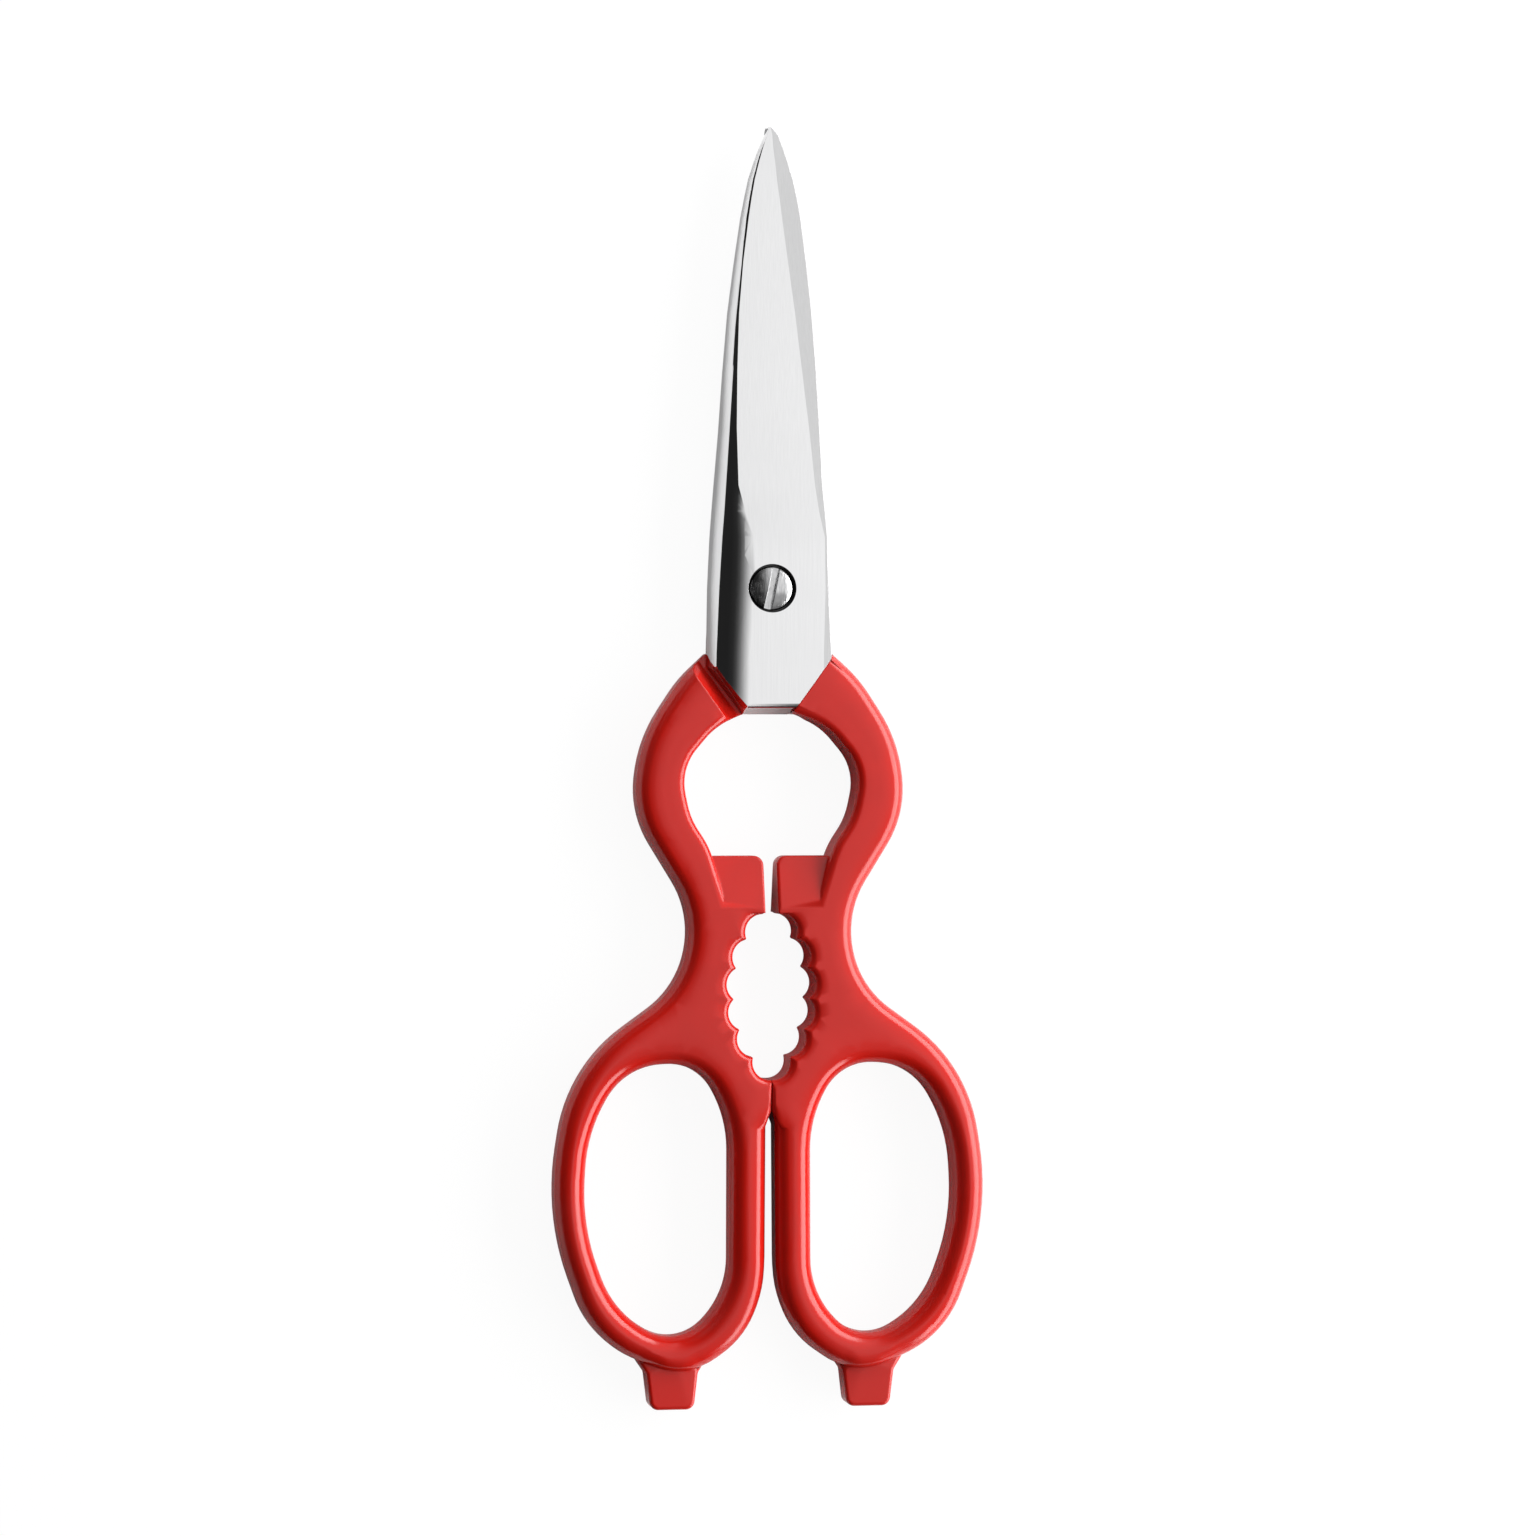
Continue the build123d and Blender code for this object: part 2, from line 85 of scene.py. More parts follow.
# Fill panel: a soft light beyond the tips and to the left, which isn't seen in reflections.
FILL_PLACE = (-260 * MM, 380 * MM, 180 * MM)
FILL_LENGTH = 500 * MM
FILL_HEIGHT = 300 * MM
FILL_RADIANCE = 2.5

# Floor: what the camera sees is mostly self-lit, as on a light table; what reflects it sees plain paper.
FLOOR_SIZE = 6.0
FLOOR_GAP = 0.05 * MM
FLOOR_SHADE = 0.07
FLOOR_GLOW = 0.94
PAPER_SHADE = 0.95

# Polished spine of each half: a rounded side up from the mating faces to a crease, then a rounded strip
# up to the flat face. A row is a section: its place, the half width, then the foot, crease and face line
# as shares of the half width, the crease's height as a share of the rise, and how round the strip is.
BLADE_REACH = 72.2 * MM
BLADE_ROOT = 8.5 * MM
BOSS_END = 19.6 * MM
HALF_WIDTH = 9.4 * MM
HALF_THICKNESS = 4.2 * MM
MATING_OFFSET = 0.03 * MM
TIP_RISE = 1.1 * MM
BOSS_SECTIONS = (
    (1.030, 1.106, 0.952, 0.856, 0.356, 0.73, 1.00),
    (0.510, 1.058, 0.990, 0.869, 0.352, 0.73, 1.00),
    (0.000, 1.005, 1.026, 0.870, 0.317, 0.73, 1.00),
    (-0.408, 0.989, 1.001, 0.833, 0.323, 0.75, 0.95),
)
BLADE_SECTIONS = (
    (0.055, 0.952, 1.007, 0.831, 0.480, 0.80, 0.65),
    (0.118, 0.910, 1.015, 0.839, 0.620, 0.84, 0.30),
    (0.259, 0.859, 0.979, 0.812, 0.682, 0.86, 0.10),
    (0.400, 0.803, 0.963, 0.787, 0.709, 0.86, 0.10),
    (0.542, 0.731, 0.946, 0.780, 0.728, 0.86, 0.10),
    (0.667, 0.638, 0.910, 0.753, 0.715, 0.89, 0.10),
    (0.777, 0.544, 0.865, 0.722, 0.658, 0.88, 0.10),
    (0.824, 0.485, 0.844, 0.700, 0.636, 0.88, 0.10),
    (0.871, 0.417, 0.816, 0.668, 0.602, 0.88, 0.10),
    (0.918, 0.319, 0.750, 0.600, 0.533, 0.88, 0.10),
    (0.950, 0.244, 0.642, 0.502, 0.437, 0.88, 0.10),
    (0.981, 0.162, 0.430, 0.300, 0.230, 0.87, 0.10),
    (1.000, 0.053, 0.200, 0.120, 0.020, 0.86, 0.10),
)
SPINE_ROUND = 0.055
TUCK_START = 20 * MM
SPINE_SLACK = 0.03 * MM
SPINE_LEAN = -0.01
SPINE_CUTS = 3
STEEL_SMOOTH_ANGLE = math.radians(10)
MERGE_DISTANCE = 0.002 * MM
LARGE_FACE_WEIGHT = 100

# Coating: its faces fall towards its side walls from FALL_REACH away. A row of WALL_FALLS is a kind of wall:
# how far the faces fall, and between which heights its top lies, which is lower where its edge is rounder.
WALL_FALLS = ((0.75 * MM, 6.2 * MM, 6.8 * MM), (0.15 * MM, 7.7 * MM, 8.4 * MM))
FALL_REACH = 3.2 * MM
FLAT_CUTS = 3
FLAT_SLACK = 0.01 * MM
FLAT_LEAST_RISE = 0.999
WALL_MOST_RISE = 0.02
CORE_SLACK = 0.1 * MM
WALL_STEP = 0.15 * MM
RED_SMOOTH_ANGLE = math.radians(35)

# Lower ends of the blocks that meet between the bows: they slope back to the bar behind them.
BLOCK_BOTTOM = -84 * MM
BLOCK_SLOPE_TOP = -78.5 * MM
BLOCK_SLOPE_RUN = 3.2 * MM
BLOCK_FACE = 0.05 * MM
BAR_FACE = 1.15 * MM

# Screw head: how much its dome is raised at the middle, and the painted shade in the narrow gap round it.
PAINTED_GAP_SHADE = (0.03, 0.03, 0.03)
HEAD_RADIUS = 3.45 * MM
HEAD_RAISE = 0.2 * MM
HEAD_RIM_HEIGHT = 7.80 * MM

# Looks: base colours, the roughness from clean to handled, what the polishing lines add to it, and the radius
# over which each material's edges are softened.
RED_IOR = 1.43
RED_CLEAN = (0.47, 0.009, 0.005)
RED_HANDLED = (0.43, 0.012, 0.008)
RED_ROUGHNESS = (0.14, 0.23)
RED_EDGE = 0.35 * MM
STEEL_DARK_LINE = (0.68, 0.68, 0.685)
STEEL_PALE_LINE = (0.71, 0.71, 0.715)
STEEL_ROUGHNESS = (0.04, 0.08)
STEEL_LINE_ROUGHNESS = 0.03
STEEL_EDGE = 0.02 * MM
# Painted shade in the gap round the screw head: the steel is darkened inside these radii from the pivot.
STEEL_PAINTED_SHADE_RADII = {"Clear Radius": 3.80 * MM, "Dark Radius": 3.765 * MM}
SCREW_DARK_LINE = (0.50, 0.50, 0.51)
SCREW_PALE_LINE = (0.66, 0.66, 0.66)
SCREW_ROUGHNESS = (0.12, 0.22)
SCREW_LINE_ROUGHNESS = 0.08
SCREW_LINE_HEIGHT = 0.0015 * MM
SCREW_EDGE = 0.08 * MM
# Painted shade in the gap round the screw head: the head is darkened at its rim, outside these radii.
SCREW_PAINTED_SHADE_RADII = {"Clear Radius": 3.22 * MM, "Dark Radius": 3.30 * MM}
BEVEL_SAMPLES = 6


def add_camera():
    """Camera whose frame is the photograph's, looking down from a little to the left of the shears."""
    distance = FOCAL_PX / PX_PER_MM * MM
    middle_px = IMAGE_SIDE_PX / 2
    aim = Vector((
        (middle_px - PIVOT_PX[0]) / PX_PER_MM * MM,
        (PIVOT_PX[1] - middle_px) / PX_PER_MM * MM,
        MID_HEIGHT,
    ))
    right = Vector((math.cos(CAMERA_TILT), 0, math.sin(CAMERA_TILT)))
    up = Vector((0, 1, 0))
    back = right.cross(up)
    data = bpy.data.cameras.new("Camera")
    data.sensor_width = SENSOR_MM
    data.lens = SENSOR_MM * FOCAL_PX / IMAGE_SIDE_PX
    data.clip_start = distance / CLIP_FACTOR
    data.clip_end = distance * CLIP_FACTOR
    camera = bpy.data.objects.new("Camera", data)
    turn = Matrix((right, up, back)).transposed().to_4x4()
    camera.matrix_world = Matrix.Translation(aim + back * distance) @ turn
    bpy.context.scene.collection.objects.link(camera)
    bpy.context.scene.camera = camera


def new_group(name, inputs, outputs):
    """Empty shader node group with named inputs (name, default) and outputs (name, socket type)."""
    group = bpy.data.node_groups.new(name, "ShaderNodeTree")
    for label, default in inputs:
        socket = group.interface.new_socket(label, in_out="INPUT", socket_type="NodeSocketFloat")
        socket.default_value = default
    for label, kind in outputs:
        group.interface.new_socket(label, in_out="OUTPUT", socket_type=kind)
    entry = group.nodes.new("NodeGroupInput")
    leave = group.nodes.new("NodeGroupOutput")
    return group, group.nodes, group.links, entry, leave


def place_group(parts, group, values):
    """Node in a material that holds the group, with its own values by input name."""
    node = parts.new("ShaderNodeGroup")
    node.node_tree = group
    for label, value in values.items():
        node.inputs[label].default_value = value
    return node


def add_math(parts, links, operation, first, second):
    """Math node of two operands, each a socket or a number; returns its output."""
    node = parts.new("ShaderNodeMath")
    node.operation = operation
    for socket, value in zip(node.inputs, (first, second)):
        if isinstance(value, (int, float)):
            socket.default_value = value
        else:
            links.new(value, socket)
    return node.outputs[0]


def add_range(parts, links, value, low, high, low_out, high_out):
    """Map Range node with smooth ends, from a socket and four numbers or sockets; returns its output."""
    node = parts.new("ShaderNodeMapRange")
    node.interpolation_type = "SMOOTHSTEP"
    links.new(value, node.inputs["Value"])
    for label, number in (("From Min", low), ("From Max", high), ("To Min", low_out), ("To Max", high_out)):
        if isinstance(number, (int, float)):
            node.inputs[label].default_value = number
        else:
            links.new(number, node.inputs[label])
    return node.outputs["Result"]


def add_noise(parts, links, vector, scale, detail, roughness):
    """Noise texture on a vector socket; returns its value output."""
    node = parts.new("ShaderNodeTexNoise")
    links.new(vector, node.inputs["Vector"])
    if isinstance(scale, (int, float)):
        node.inputs["Scale"].default_value = scale
    else:
        links.new(scale, node.inputs["Scale"])
    node.inputs["Detail"].default_value = detail
    node.inputs["Roughness"].default_value = roughness
    return node.outputs[0]


def make_polish_lines():
    """Fine lines that polishing leaves, long one way and close across it; 0 to 1."""
    group, parts, links, entry, leave = new_group(
        "polish_lines",
        (("Lines Per Metre", 9000.0), ("Across X", 1.0), ("Across Y", 0.02), ("Across Z", 1.0)),
        (("Lines", "NodeSocketFloat"),),
    )
    place = parts.new("ShaderNodeTexCoord")
    stretch = parts.new("ShaderNodeVectorMath")
    stretch.operation = "MULTIPLY"
    join = parts.new("ShaderNodeCombineXYZ")
    for axis in ("X", "Y", "Z"):
        links.new(entry.outputs["Across " + axis], join.inputs[axis])
    links.new(place.outputs["Object"], stretch.inputs[0])
    links.new(join.outputs[0], stretch.inputs[1])
    lines = add_noise(parts, links, stretch.outputs[0], entry.outputs["Lines Per Metre"], 3.0, 0.6)
    links.new(add_range(parts, links, lines, 0.30, 0.70, 0.0, 1.0), leave.inputs["Lines"])
    return group


def make_handling_marks():
    """Soft patches and small specks that handling leaves on a glossy surface; 0 to 1."""
    group, parts, links, entry, leave = new_group(
        "handling_marks",
        (("Patches Per Metre", 45.0), ("Specks Per Metre", 900.0), ("Speck Share", 0.35)),
        (("Marks", "NodeSocketFloat"),),
    )
    place = parts.new("ShaderNodeTexCoord")
    patches = add_noise(parts, links, place.outputs["Object"], entry.outputs["Patches Per Metre"], 4.0, 0.55)
    specks = add_noise(parts, links, place.outputs["Object"], entry.outputs["Specks Per Metre"], 2.0, 0.6)
    soft = add_range(parts, links, patches, 0.38, 0.66, 0.0, 1.0)
    small = add_range(parts, links, specks, 0.60, 0.74, 0.0, 1.0)
    weighted = add_math(parts, links, "MULTIPLY", small, entry.outputs["Speck Share"])
    links.new(add_math(parts, links, "MAXIMUM", soft, weighted), leave.inputs["Marks"])
    return group


def make_painted_gap_shade():
    """Mask for the painted shade in the narrow gap round the screw head, by the distance from the pivot's
    axis.
    """
    group, parts, links, entry, leave = new_group(
        "recess_shade",
        (("Clear Radius", 0.00345), ("Dark Radius", 0.0034)),
        (("Shade", "NodeSocketFloat"),),
    )
    place = parts.new("ShaderNodeTexCoord")
    split = parts.new("ShaderNodeSeparateXYZ")
    links.new(place.outputs["Object"], split.inputs[0])
    across = add_math(parts, links, "MULTIPLY", split.outputs["X"], split.outputs["X"])
    along = add_math(parts, links, "MULTIPLY", split.outputs["Y"], split.outputs["Y"])
    reach = add_math(parts, links, "SQRT", add_math(parts, links, "ADD", across, along), 0)
    links.new(add_range(
        parts, links, reach, entry.outputs["Clear Radius"], entry.outputs["Dark Radius"], 0.0, 1.0,
    ), leave.inputs["Shade"])
    return group


def paint_shade(parts, links, mask, colour, dark):
    """Mix node that paints shade into a colour socket, turning it to a dark one by a mask socket; returns its
    colour output.
    """
    node = parts.new("ShaderNodeMix")
    node.data_type = "RGBA"
    links.new(mask, node.inputs["Factor"])
    links.new(colour, node.inputs["A"])
    node.inputs["B"].default_value = (*dark, 1)
    return node.outputs["Result"]


def make_surface_swell():
    """Gentle unevenness of a hand-finished or poured surface, as a height in metres."""
    group, parts, links, entry, leave = new_group(
        "surface_swell",
        (("Swells Per Metre", 120.0), ("Ripples Per Metre", 900.0), ("Swell Height", 0.00002),
         ("Ripple Height", 0.000002)),
        (("Height", "NodeSocketFloat"),),
    )
    place = parts.new("ShaderNodeTexCoord")
    swells = add_noise(parts, links, place.outputs["Object"], entry.outputs["Swells Per Metre"], 1.0, 0.4)
    ripples = add_noise(parts, links, place.outputs["Object"], entry.outputs["Ripples Per Metre"], 2.0, 0.5)
    high = add_math(parts, links, "MULTIPLY", swells, entry.outputs["Swell Height"])
    fine = add_math(parts, links, "MULTIPLY", ripples, entry.outputs["Ripple Height"])
    links.new(add_math(parts, links, "ADD", high, fine), leave.inputs["Height"])
    return group


def make_active(piece):
    """Makes the piece the only selected one and the active one."""
    bpy.ops.object.select_all(action="DESELECT")
    piece.select_set(True)
    bpy.context.view_layer.objects.active = piece


def subdivide_faces(piece, is_wanted, cuts):
    """Subdivides those faces of the piece for which is_wanted holds."""
    make_active(piece)
    bpy.ops.object.mode_set(mode="EDIT")
    bpy.ops.mesh.select_mode(type="FACE")
    bpy.ops.mesh.select_all(action="DESELECT")
    bpy.ops.object.mode_set(mode="OBJECT")
    for face in piece.data.polygons:
        face.select = is_wanted(face)
    bpy.ops.object.mode_set(mode="EDIT")
    bpy.ops.mesh.subdivide(number_cuts=cuts)
    bpy.ops.mesh.select_all(action="DESELECT")
    bpy.ops.object.mode_set(mode="OBJECT")


def copy_node(name, piece_name, body):
    """Merged copy of a CAD node, which stands for it and rides on its body."""
    piece = bpy.data.objects.new(piece_name, nodes[name].data.copy())
    bpy.context.scene.collection.objects.link(piece)
    make_active(piece)
    bpy.ops.object.mode_set(mode="EDIT")
    bpy.ops.mesh.select_all(action="SELECT")
    bpy.ops.mesh.remove_doubles(threshold=MERGE_DISTANCE)
    bpy.ops.mesh.select_all(action="DESELECT")
    bpy.ops.object.mode_set(mode="OBJECT")
    bpy.ops.mesh.customdata_custom_splitnormals_clear()
    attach(piece, body)
    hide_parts(name)
    return piece


def spine_sections():
    """Sections from the boss's end to the tip: place, foot, crease, face line, the strip's roundness and
    how far the lower half's edge tucks in under the upper half's spine."""
    full_rise = HALF_THICKNESS - MATING_OFFSET
    rows = []
    for place, width, foot, crease, face, height, crown in BOSS_SECTIONS:
        rows.append((-BOSS_END * place, full_rise, width, foot, crease, face, height, crown))
    for place, width, foot, crease, face, height, crown in BLADE_SECTIONS:
        along = BLADE_ROOT + (BLADE_REACH - BLADE_ROOT) * place
        rise = full_rise + (TIP_RISE - full_rise) * place
        rows.append((along, rise, width, foot, crease, face, height, crown))
    sections = []
    for along, rise, width, foot, crease, face, height, crown in rows:
        half = HALF_WIDTH * width
        sections.append((
            along,
            Vector((-half * foot, MATING_OFFSET)),
            Vector((-half * crease, MATING_OFFSET + rise * height)),
            Vector((-half * face, MATING_OFFSET + rise)),
            crown,
            half * max(0, 1 - foot) if along > TUCK_START else 0,
        ))
    return sections


def section_at(sections, along):
    """Lines of the section at a place along the half, or None beyond its ends."""
    for low, high in zip(sections, sections[1:]):
        if low[0] <= along <= high[0]:
            share = (along - low[0]) / (high[0] - low[0])
            return [a + (b - a) * share for a, b in zip(low[1:], high[1:])]
    return None


def arc_height(length, sagitta, share):
    """Height of a shallow arc over its chord, at a share of the chord's length."""
    radius = (length ** 2 / 4 + sagitta ** 2) / (2 * sagitta)
    reach = length * (share - 0.5)
    return math.sqrt(radius ** 2 - reach ** 2) - radius + sagitta


def round_spine(piece, turn):
    """Rounds the spine's side and strip outwards. Turn is 1 for the upper half, -1 for the lower one."""
    mesh = piece.data
    sections = spine_sections()

    def strip_place(co):
        """New place of a point that lies on the side or the strip, or None for any other point."""
        lines = section_at(sections, co.y)
        if lines is None:
            return None
        foot, crease, face, crown, tuck = lines
        point = Vector((turn * co.x, turn * (co.z - HALF_THICKNESS)))
        for start, end, is_side in ((foot, crease, True), (crease, face, False)):
            chord = end - start
            length = chord.length
            outward = Vector((-chord.y, chord.x)) / length
            share = (point - start).dot(chord) / length ** 2
            depth = (point - start).dot(outward)
            full = length / 2 * math.tan(math.atan2(chord.y, chord.x) / 2)
            sagitta = SPINE_ROUND * length if is_side else crown * full
            if not 0 <= share <= 1:
                continue
            if not -arc_height(length, sagitta, share) - SPINE_SLACK <= depth <= SPINE_SLACK:
                continue
            return start + chord * share + outward * arc_height(length, sagitta, share)
        return None

    on_strip = [strip_place(vertex.co) is not None for vertex in mesh.vertices]

    def is_spine(face):
        """Whether the face is part of the side or the strip and leans their way."""
        leans = turn * face.normal.z > 0 and turn * face.normal.x < SPINE_LEAN
        return leans and all(on_strip[index] for index in face.vertices)

    subdivide_faces(piece, is_spine, SPINE_CUTS)
    for vertex in mesh.vertices:
        point = strip_place(vertex.co)
        if point is None:
            continue
        vertex.co.x = turn * point.x
        vertex.co.z = HALF_THICKNESS + turn * point.y


def tuck_edge(piece):
    """Leans the lower blade a little, so that its edge hides under the upper blade's spine."""
    sections = spine_sections()
    for vertex in piece.data.vertices:
        lines = section_at(sections, vertex.co.y)
        if lines is not None:
            vertex.co.x += lines[-1]


def round_bows(piece, core):
    """Lowers the coating's upper and lower faces towards its side walls, so that the bows look round."""
    def is_flat(face):
        """Whether the face is part of the coating's upper or lower flat."""
        height = abs(face.center.z - HALF_THICKNESS)
        return height > HALF_THICKNESS - FLAT_SLACK and abs(face.normal.z) > FLAT_LEAST_RISE

    subdivide_faces(piece, is_flat, FLAT_CUTS)
    mesh = piece.data
    inside = nodes[core].data
    surface = BVHTree.FromPolygons(
        [vertex.co for vertex in inside.vertices], [face.vertices for face in inside.polygons],
    )
    outer = [surface.find_nearest(vertex.co)[3] > CORE_SLACK for vertex in mesh.vertices]
    falls = []
    for fall, low, high in WALL_FALLS:
        marks = []
        for face in mesh.polygons:
            if abs(face.normal.z) > WALL_MOST_RISE:
                continue
            for first, second in zip(face.vertices, (*face.vertices[1:], face.vertices[0])):
                start, end = mesh.vertices[first].co, mesh.vertices[second].co
                if not (outer[first] and outer[second] and low < start.z < high and low < end.z < high):
                    continue
                steps = int((end - start).length / WALL_STEP) + 1
                marks += [start.lerp(end, step / steps) for step in range(steps + 1)]
        tree = KDTree(len(marks))
        for index, mark in enumerate(marks):
            tree.insert((mark.x, mark.y, 0), index)
        tree.balance()
        falls.append((fall, tree))
    for vertex, is_outer in zip(mesh.vertices, outer):
        if not is_outer:
            continue
        drop = 0
        for fall, tree in falls:
            reach = tree.find((vertex.co.x, vertex.co.y, 0))[2]
            drop = max(drop, fall * max(0, 1 - reach / FALL_REACH) ** 2)
        vertex.co.z -= math.copysign(drop, vertex.co.z - HALF_THICKNESS)


def slope_block(piece):
    """Slopes the lower end of the block between the bows, by moving its outer corner up."""
    for vertex in piece.data.vertices:
        down = min(1, max(0, (BLOCK_SLOPE_TOP - vertex.co.y) / (BLOCK_SLOPE_TOP - BLOCK_BOTTOM)))
        out = min(1, max(0, (BAR_FACE - abs(vertex.co.x)) / (BAR_FACE - BLOCK_FACE)))
        vertex.co.y += BLOCK_SLOPE_RUN * down * out


def smooth_shading(piece, angle):
    """Smooth shading that keeps edges sharper than the angle crisp and the flat faces flat."""
    make_active(piece)
    bpy.ops.object.shade_smooth_by_angle(angle=angle)
    weigh = piece.modifiers.new("flat_faces_first", "WEIGHTED_NORMAL")
    weigh.keep_sharp = True
    weigh.mode = "FACE_AREA"
    weigh.weight = LARGE_FACE_WEIGHT
    bpy.ops.object.modifier_apply(modifier=weigh.name)


def raise_head(piece):
    """Raises the screw head's dome, most at the middle and not at all at its rim."""
    for vertex in piece.data.vertices:
        reach = math.hypot(vertex.co.x, vertex.co.y)
        if vertex.co.z > HEAD_RIM_HEIGHT and reach < HEAD_RADIUS:
            vertex.co.z += HEAD_RAISE * (1 - (reach / HEAD_RADIUS) ** 2)


def new_material(name):
    """Empty node material with a Principled BSDF; returns the material, its nodes, links and shader."""
    material = bpy.data.materials.new(name)
    material.use_nodes = True
    tree = material.node_tree
    shader = tree.nodes["Principled BSDF"]
    return material, tree.nodes, tree.links, shader


def paint(obj, material):
    """Gives the whole object one material."""
    obj.data.materials.clear()
    obj.data.materials.append(material)
    for face in obj.data.polygons:
        face.material_index = 0


def mix_colours(parts, links, mask, first, second):
    """Mix node between two colours by a mask socket; returns its colour output."""
    node = parts.new("ShaderNodeMix")
    node.data_type = "RGBA"
    links.new(mask, node.inputs["Factor"])
    node.inputs["A"].default_value = (*first, 1)
    node.inputs["B"].default_value = (*second, 1)
    return node.outputs["Result"]


def relief(parts, links, shader, height, edge_radius):
    """Bump node for a height in metres, over edges softened by the radius."""
    edge = parts.new("ShaderNodeBevel")
    edge.samples = BEVEL_SAMPLES
    edge.inputs["Radius"].default_value = edge_radius
    bump = parts.new("ShaderNodeBump")
    bump.inputs["Strength"].default_value = 1
    bump.inputs["Distance"].default_value = 1
    links.new(height, bump.inputs["Height"])
    links.new(edge.outputs["Normal"], bump.inputs["Normal"])
    links.new(bump.outputs["Normal"], shader.inputs["Normal"])


def make_red_coating(marks, swell):
    """Glossy red coating, thick and poured over the forged handles."""
    material, parts, links, shader = new_material("red_coating")
    shader.inputs["IOR"].default_value = RED_IOR
    wear = place_group(parts, marks, {"Patches Per Metre": 60.0, "Specks Per Metre": 1400.0})
    colour = mix_colours(parts, links, wear.outputs["Marks"], RED_CLEAN, RED_HANDLED)
    links.new(colour, shader.inputs["Base Color"])
    rough = add_range(parts, links, wear.outputs["Marks"], 0.0, 1.0, *RED_ROUGHNESS)
    links.new(rough, shader.inputs["Roughness"])
    form = place_group(parts, swell, {
        "Swells Per Metre": 90.0, "Ripples Per Metre": 1500.0, "Swell Height": 0.00004,
        "Ripple Height": 0.0000006,
    })
    relief(parts, links, shader, form.outputs["Height"], RED_EDGE)
    return material


def make_polished_steel(lines, marks, swell, painted_shade_group):
    """Mirror-polished forged steel with fine lengthwise lines, and painted shade in the counterbore round the
    screw head.
    """
    material, parts, links, shader = new_material("polished_steel")
    shader.inputs["Metallic"].default_value = 1
    streaks = place_group(parts, lines, {"Lines Per Metre": 7000.0, "Across Y": 0.015})
    wear = place_group(parts, marks, {"Patches Per Metre": 70.0, "Specks Per Metre": 2200.0})
    colour = mix_colours(parts, links, streaks.outputs["Lines"], STEEL_DARK_LINE, STEEL_PALE_LINE)
    # Painted shade: the steel is darkened in the gap round the screw head.
    painted_shade = place_group(parts, painted_shade_group, STEEL_PAINTED_SHADE_RADII)
    colour = paint_shade(parts, links, painted_shade.outputs["Shade"], colour, PAINTED_GAP_SHADE)
    links.new(colour, shader.inputs["Base Color"])
    smooth = add_range(parts, links, wear.outputs["Marks"], 0.0, 1.0, *STEEL_ROUGHNESS)
    drawn = add_range(parts, links, streaks.outputs["Lines"], 0.0, 1.0, 0.0, STEEL_LINE_ROUGHNESS)
    links.new(add_math(parts, links, "ADD", smooth, drawn), shader.inputs["Roughness"])
    form = place_group(parts, swell, {
        "Swells Per Metre": 70.0, "Ripples Per Metre": 600.0, "Swell Height": 0.00001,
        "Ripple Height": 0.0000002,
    })
    relief(parts, links, shader, form.outputs["Height"], STEEL_EDGE)
    return material


def make_screw_steel(lines, marks, painted_shade_group):
    """Satin steel of the pivot screw, brushed across its head, with painted shade at the head's rim."""
    material, parts, links, shader = new_material("screw_steel")
    shader.inputs["Metallic"].default_value = 1
    streaks = place_group(parts, lines, {
        "Lines Per Metre": 5000.0, "Across X": 1.0, "Across Y": 0.12, "Across Z": 0.3,
    })
    wear = place_group(parts, marks, {"Patches Per Metre": 500.0, "Specks Per Metre": 4000.0})
    colour = mix_colours(parts, links, streaks.outputs["Lines"], SCREW_DARK_LINE, SCREW_PALE_LINE)
    # Painted shade: the head's rim is darkened in the gap round it.
    painted_shade = place_group(parts, painted_shade_group, SCREW_PAINTED_SHADE_RADII)
    colour = paint_shade(parts, links, painted_shade.outputs["Shade"], colour, PAINTED_GAP_SHADE)
    links.new(colour, shader.inputs["Base Color"])
    smooth = add_range(parts, links, wear.outputs["Marks"], 0.0, 1.0, *SCREW_ROUGHNESS)
    drawn = add_range(parts, links, streaks.outputs["Lines"], 0.0, 1.0, 0.0, SCREW_LINE_ROUGHNESS)
    links.new(add_math(parts, links, "ADD", smooth, drawn), shader.inputs["Roughness"])
    height = add_math(parts, links, "MULTIPLY", streaks.outputs["Lines"], SCREW_LINE_HEIGHT)
    relief(parts, links, shader, height, SCREW_EDGE)
    return material


def add_floor():
    """Plain pale floor under the shears."""
    bpy.ops.object.select_all(action="DESELECT")
    bpy.ops.mesh.primitive_plane_add(size=FLOOR_SIZE, location=(0, 0, -FLOOR_GAP))
    floor = bpy.context.object
    floor.name = "floor"
    material, parts, links, shader = new_material("floor")
    path = parts.new("ShaderNodeLightPath")
    seen = path.outputs["Is Camera Ray"]
    shade = mix_colours(parts, links, seen, (PAPER_SHADE,) * 3, (FLOOR_SHADE,) * 3)
    glow = mix_colours(parts, links, seen, (0, 0, 0), (FLOOR_GLOW,) * 3)
    links.new(shade, shader.inputs["Base Color"])
    links.new(glow, shader.inputs["Emission Color"])
    shader.inputs["Emission Strength"].default_value = 1
    shader.inputs["Roughness"].default_value = 1
    shader.inputs["Specular IOR Level"].default_value = 0
    paint(floor, material)


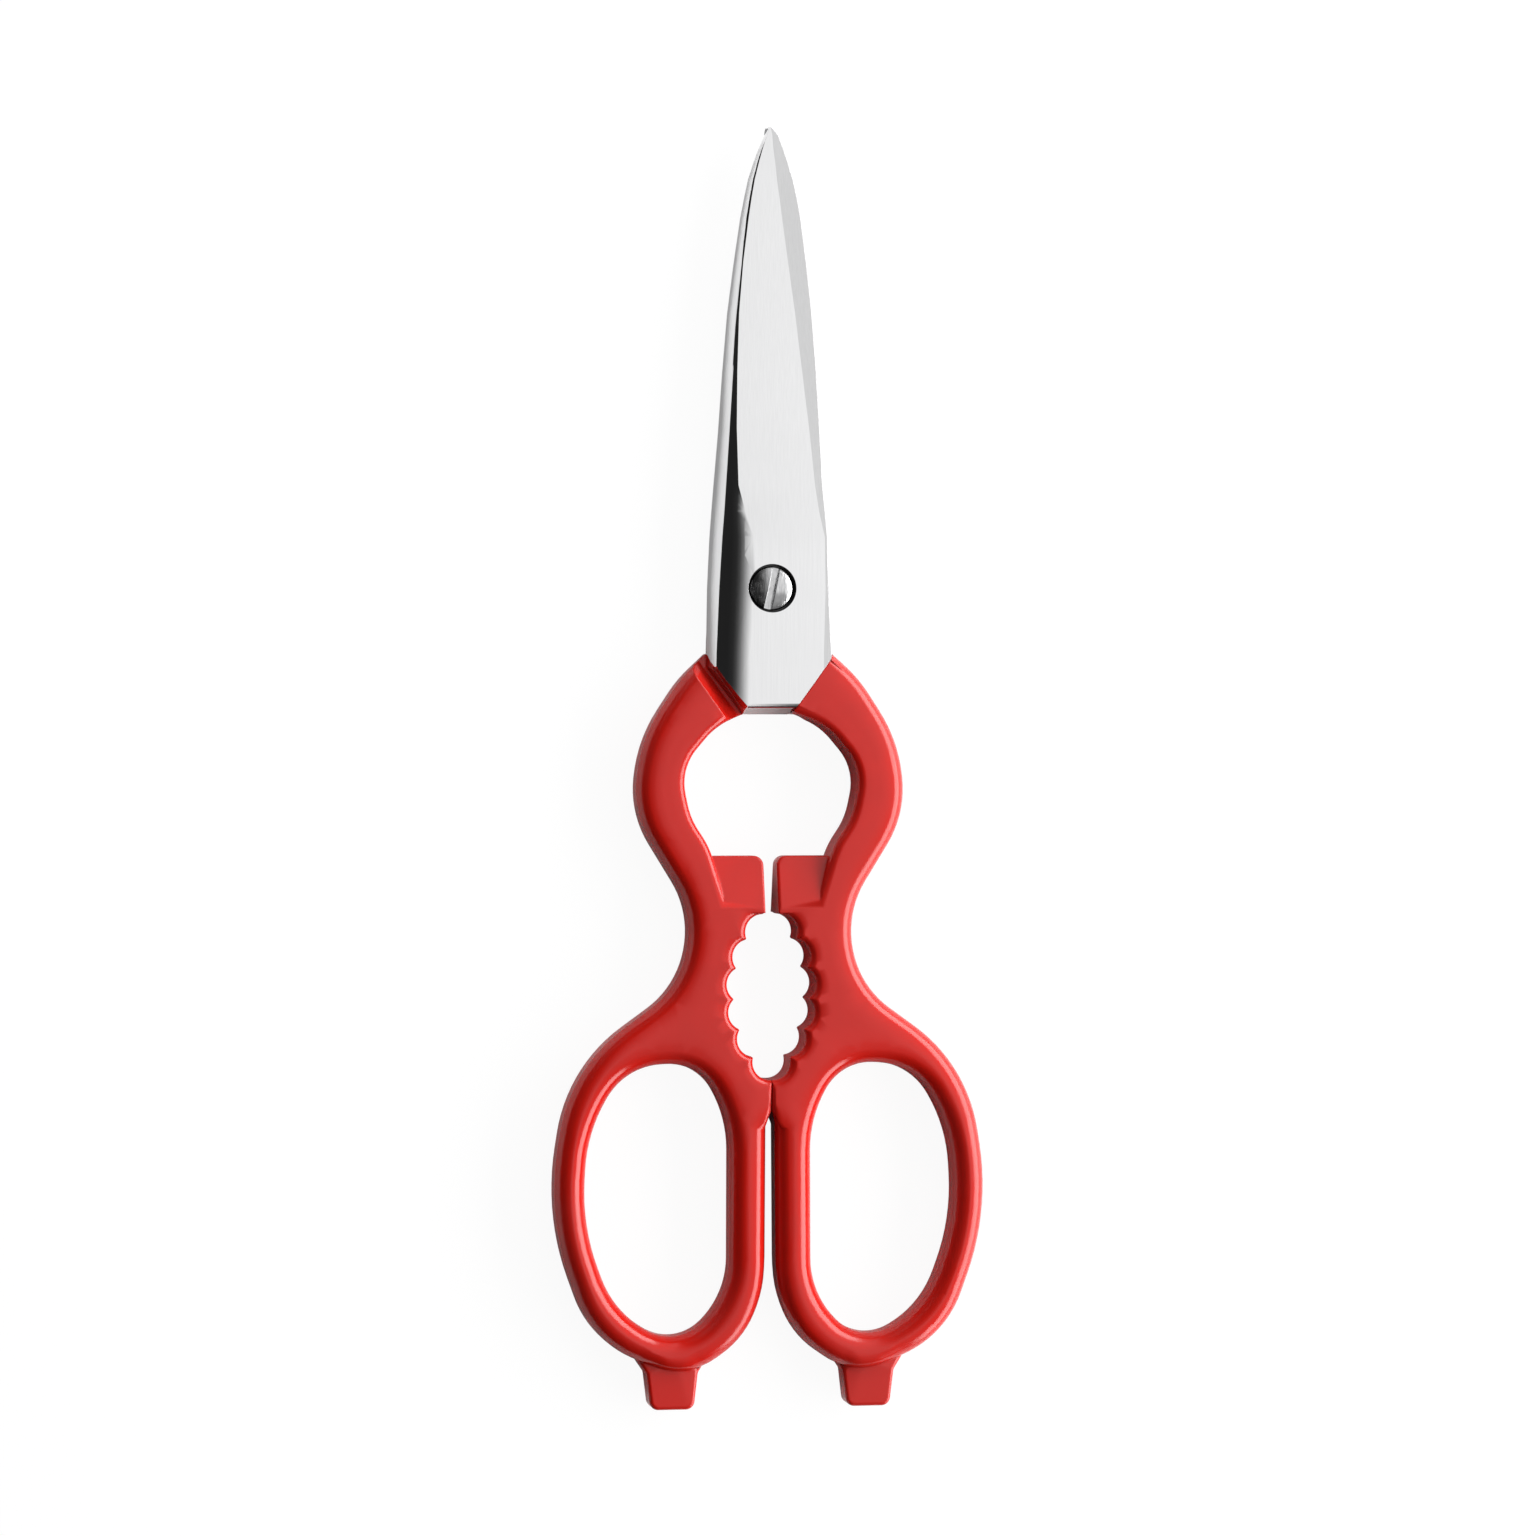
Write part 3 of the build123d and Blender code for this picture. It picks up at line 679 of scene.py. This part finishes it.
def add_dome_ramp(parts, links, value, stops, peak):
    """Colour ramp over a 0 to 1 socket, from (place, brightness) stops; returns its colour output."""
    ramp = parts.new("ShaderNodeValToRGB")
    ramp.color_ramp.interpolation = "LINEAR"
    links.new(value, ramp.inputs[0])
    marks = ramp.color_ramp.elements
    while len(marks) > 1:
        marks.remove(marks[0])
    marks[0].position = stops[0][0]
    marks[0].color = [stops[0][1] / peak] * 3 + [1]
    for place, brightness in stops[1:]:
        mark = marks.new(place)
        mark.color = [brightness / peak] * 3 + [1]
    return ramp.outputs["Color"]


def add_studio():
    """Studio dome, bright overhead and to the right, dark to the left, with a soft box and a fill panel."""
    world = bpy.data.worlds.new("studio")
    bpy.context.scene.world = world
    world.use_nodes = True
    parts = world.node_tree.nodes
    links = world.node_tree.links
    direction = parts.new("ShaderNodeTexCoord")
    split = parts.new("ShaderNodeSeparateXYZ")
    links.new(direction.outputs["Generated"], split.inputs[0])
    side = add_math(parts, links, "ARCTAN2", split.outputs["X"], split.outputs["Z"])
    turn = parts.new("ShaderNodeMapRange")
    turn.inputs["From Min"].default_value = -math.pi
    turn.inputs["From Max"].default_value = math.pi
    links.new(side, turn.inputs["Value"])
    lean = parts.new("ShaderNodeMapRange")
    lean.inputs["From Min"].default_value = -1
    links.new(split.outputs["Y"], lean.inputs["Value"])
    across = [(0.5 + degrees / 360, brightness) for degrees, brightness in DOME_STOPS]
    along = [(0.5 + sine / 2, brightness) for sine, brightness in DOME_LOW_STOPS]
    both = parts.new("ShaderNodeMix")
    both.data_type = "RGBA"
    both.blend_type = "MULTIPLY"
    both.inputs["Factor"].default_value = 1
    links.new(add_dome_ramp(parts, links, turn.outputs["Result"], across, DOME_PEAK), both.inputs["A"])
    links.new(add_dome_ramp(parts, links, lean.outputs["Result"], along, 1), both.inputs["B"])
    background = parts["Background"]
    links.new(both.outputs["Result"], background.inputs["Color"])
    background.inputs["Strength"].default_value = DOME_PEAK

    height = BOX_HIGH - BOX_LOW
    box_place = (BOX_DISTANCE, 0, BOX_LOW + height / 2)
    add_panel("soft_box", box_place, (1, 0, 0), BOX_LENGTH, height, BOX_RADIANCE)
    fill = add_panel("fill_panel", FILL_PLACE, FILL_PLACE, FILL_LENGTH, FILL_HEIGHT, FILL_RADIANCE)
    fill.visible_glossy = False


def add_panel(name, place, away, length, height, radiance):
    """Flat soft light of a set brightness that faces against the away direction, its length level.
    Returns the light's object."""
    data = bpy.data.lights.new(name, "AREA")
    data.shape = "RECTANGLE"
    data.size = length
    data.size_y = height
    data.energy = radiance * math.pi * length * height
    back = Vector(away).normalized()
    level = Vector((0, 0, 1)).cross(back).normalized()
    up = back.cross(level)
    panel = bpy.data.objects.new(name, data)
    turn = Matrix((level, up, back)).transposed().to_4x4()
    panel.matrix_world = Matrix.Translation(place) @ turn
    panel.visible_camera = False
    bpy.context.scene.collection.objects.link(panel)
    return panel


lines = make_polish_lines()
marks = make_handling_marks()
swell = make_surface_swell()
red = make_red_coating(marks, swell)
# Painted shade for the gap round the screw head, used by both steels.
painted_shade_group = make_painted_gap_shade()
steel = make_polished_steel(lines, marks, swell, painted_shade_group)
satin = make_screw_steel(lines, marks, painted_shade_group)
for half in ("front", "rear"):
    coating = copy_node(half + "_handle_coating", half + "_coating_rounded", half + "_half")
    round_bows(coating, half + "_blade_forging")
    slope_block(coating)
    smooth_shading(coating, RED_SMOOTH_ANGLE)
    paint(coating, red)
front_steel = copy_node("front_blade_forging", "front_blade_polished", "front_half")
rear_steel = copy_node("rear_blade_forging", "rear_blade_polished", "rear_half")
screw = copy_node("pivot_screw", "pivot_screw_head", "rear_half")
round_spine(front_steel, 1)
round_spine(rear_steel, -1)
tuck_edge(rear_steel)
slope_block(front_steel)
slope_block(rear_steel)
raise_head(screw)
for piece in (front_steel, rear_steel, screw):
    smooth_shading(piece, STEEL_SMOOTH_ANGLE)
for piece in (front_steel, rear_steel):
    paint(piece, steel)
paint(screw, satin)
add_floor()
add_studio()
add_camera()
bpy.context.scene.view_settings.view_transform = "Standard"
